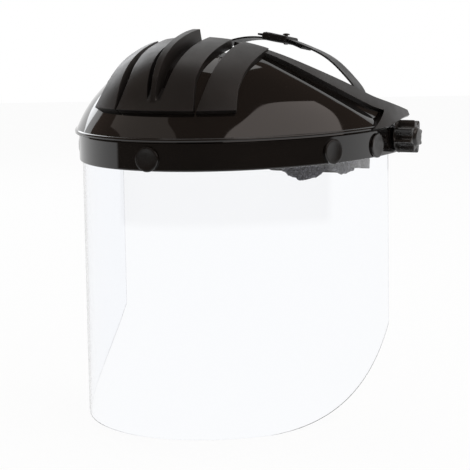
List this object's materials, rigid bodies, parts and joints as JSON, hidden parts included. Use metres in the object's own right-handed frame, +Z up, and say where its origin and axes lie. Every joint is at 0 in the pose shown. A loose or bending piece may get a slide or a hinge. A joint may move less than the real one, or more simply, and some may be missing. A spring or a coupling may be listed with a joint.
{
  "type": "face shield",
  "caption": "Face shield: glossy ribbed crown with a clear wrap-round window, flipping up on side knobs over a ratchet headband with an over-head strap and cloth pads.",
  "frame": {"origin": "centre of the headband opening at the height of the window band's lower edge, where the wearer's head sits", "axes": "the wearer looks along -Y, the wearer's left is +X, up is +Z; metres"},
  "size_m": [0.2812, 0.3161, 0.2977],
  "materials": {
    "crown_plastic": "injection moulded black thermoplastic, mirror gloss with satin raised ribs",
    "clear_window": "clear polycarbonate sheet, polished faces, cut edges",
    "stud_plastic": "moulded black nylon snap studs, semi-gloss",
    "nut_plastic": "moulded black nylon push-on retainers",
    "knob_plastic": "moulded black nylon, fluted, semi-gloss",
    "harness_plastic": "moulded black low-density polyethylene, soft sheen",
    "terry_cloth": "blue-grey looped terry cloth over foam",
    "steel": "zinc plated steel"
  },
  "bodies": {
    "harness": {"headband": "harness_plastic", "sweatband": "terry_cloth", "crown_strap_left": "harness_plastic", "crown_strap_right": "harness_plastic", "strap_buckle": "harness_plastic", "strap_pin": "harness_plastic", "pivot_bracket_left": "harness_plastic", "pivot_bolt_left": "steel", "friction_washer_left": "steel", "strap_rivet_left": "steel", "pivot_bracket_right": "harness_plastic", "pivot_bolt_right": "steel", "friction_washer_right": "steel", "strap_rivet_right": "steel", "ratchet_housing": "harness_plastic", "detent_spring": "steel", "nape_cradle": "harness_plastic", "nape_pad": "terry_cloth"},
    "visor": {"crown_shell": "crown_plastic", "window_band": "crown_plastic", "window": "clear_window", "stud_front": "stud_plastic", "stud_left_fore": "stud_plastic", "stud_left_aft": "stud_plastic", "stud_right_fore": "stud_plastic", "stud_right_aft": "stud_plastic", "stud_nut_front": "nut_plastic", "stud_nut_left_fore": "nut_plastic", "stud_nut_left_aft": "nut_plastic", "stud_nut_right_fore": "nut_plastic", "stud_nut_right_aft": "nut_plastic"},
    "knob_left": {"pivot_knob_left": "knob_plastic"},
    "knob_right": {"pivot_knob_right": "knob_plastic"},
    "ratchet": {"ratchet_knob": "knob_plastic", "ratchet_pinion": "knob_plastic"},
    "strap_left": {"rear_strap_left": "harness_plastic"},
    "strap_right": {"rear_strap_right": "harness_plastic"}
  },
  "joints": [
    {"name": "visor_flip", "type": "hinge", "parent": "harness", "child": "visor", "pos_m": [0, -0.011, 0.013], "axis": [-1, 0, 0], "range_deg": [0, 95]},
    {"name": "left_knob_turn", "type": "hinge", "parent": "harness", "child": "knob_left", "pos_m": [0.13, -0.011, 0.013], "axis": [1, 0, 0], "range_deg": [-90, 90]},
    {"name": "right_knob_turn", "type": "hinge", "parent": "harness", "child": "knob_right", "pos_m": [-0.13, -0.011, 0.013], "axis": [-1, 0, 0], "range_deg": [-90, 90]},
    {"name": "ratchet_turn", "type": "hinge", "parent": "harness", "child": "ratchet", "pos_m": [0, 0.09617, -0.01573], "axis": [0, -0.9914, 0.1305], "range_deg": [0, 45]},
    {"name": "left_strap_slide", "type": "slide", "parent": "harness", "child": "strap_left", "axis": [-1, 0, 0], "range_m": [0, 0.0045]},
    {"name": "right_strap_slide", "type": "slide", "parent": "harness", "child": "strap_right", "axis": [1, 0, 0], "range_m": [0, 0.0045]}
  ],
  "couplings": [
    {"joint": "left_strap_slide", "follows": "ratchet_turn", "m_per_rad": 0.0056},
    {"joint": "right_strap_slide", "follows": "ratchet_turn", "m_per_rad": 0.0056}
  ]
}
